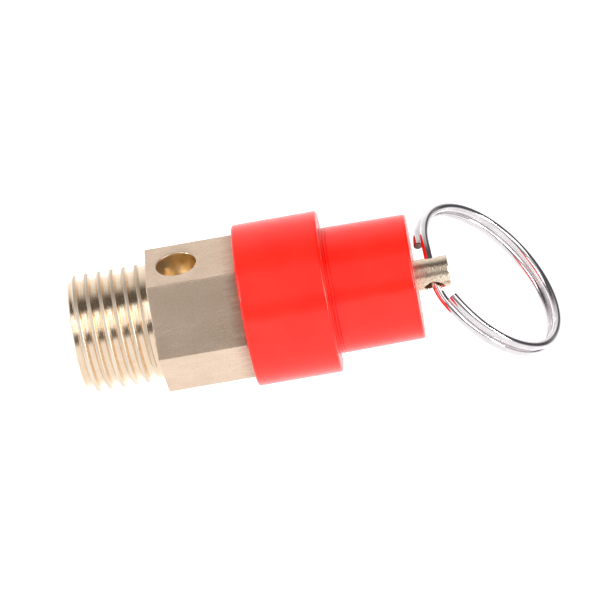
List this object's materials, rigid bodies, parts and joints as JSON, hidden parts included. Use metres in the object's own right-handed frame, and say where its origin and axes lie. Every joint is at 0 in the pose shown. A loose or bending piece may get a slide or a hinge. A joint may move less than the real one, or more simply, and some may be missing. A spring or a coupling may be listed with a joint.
{
  "type": "pressure relief valve",
  "caption": "Spring-loaded brass pressure relief valve: male pipe thread, vented hexagon, red plastic collar and cap, and a pull stem with a steel split ring.",
  "frame": {"origin": "on the valve's axis, in the plane of the hexagon's shoulder, where the valve meets the port", "axes": "+Z along the valve's axis from the threaded inlet to the pull stem; -Y through the hexagon's front flat; the vents are drilled through the flats at 30 and 210 degrees from +X"},
  "size_m": [0.0204, 0.0262, 0.0536],
  "materials": {
    "brass": "machined, satin",
    "stem_brass": "turned, dull",
    "spring_steel": "plain",
    "ring_steel": "bright plated",
    "red_plastic": "moulded, glossy",
    "black_rubber": "matt"
  },
  "bodies": {
    "root": {"valve_body": "brass", "seat_bushing": "brass", "relief_spring": "spring_steel", "upper_spring_seat": "spring_steel", "adjusting_screw": "brass", "lock_nut": "brass", "stem_seal": "black_rubber", "cap_clip": "spring_steel", "collar": "red_plastic"},
    "lift": {"lower_spring_seat": "spring_steel"},
    "stem": {"pull_stem": "stem_brass", "poppet": "brass", "seal_disc": "black_rubber", "seal_screw": "brass", "stem_pin": "spring_steel"},
    "ring": {"split_ring": "ring_steel"},
    "cap": {"cap": "red_plastic"}
  },
  "joints": [
    {"name": "stem_pull", "type": "slide", "parent": "root", "child": "lift", "axis": [0, 0, 1], "range_m": [0, 0.0025], "stiffness_N_per_m": 500, "springref_m": -0.002, "deforming": ["relief_spring"]},
    {"name": "stem_turn", "type": "hinge", "parent": "lift", "child": "stem", "pos_m": [0, 0, 0], "axis": [0, 0, 1], "continuous": true},
    {"name": "ring_swing", "type": "hinge", "parent": "stem", "child": "ring", "pos_m": [0, 0, 0.0312], "axis": [0.9385, -0.3453, 0], "range_deg": [-7, 117]},
    {"name": "cap_turn", "type": "hinge", "parent": "root", "child": "cap", "pos_m": [0, 0, 0.0226], "axis": [0, 0, 1], "continuous": true}
  ]
}
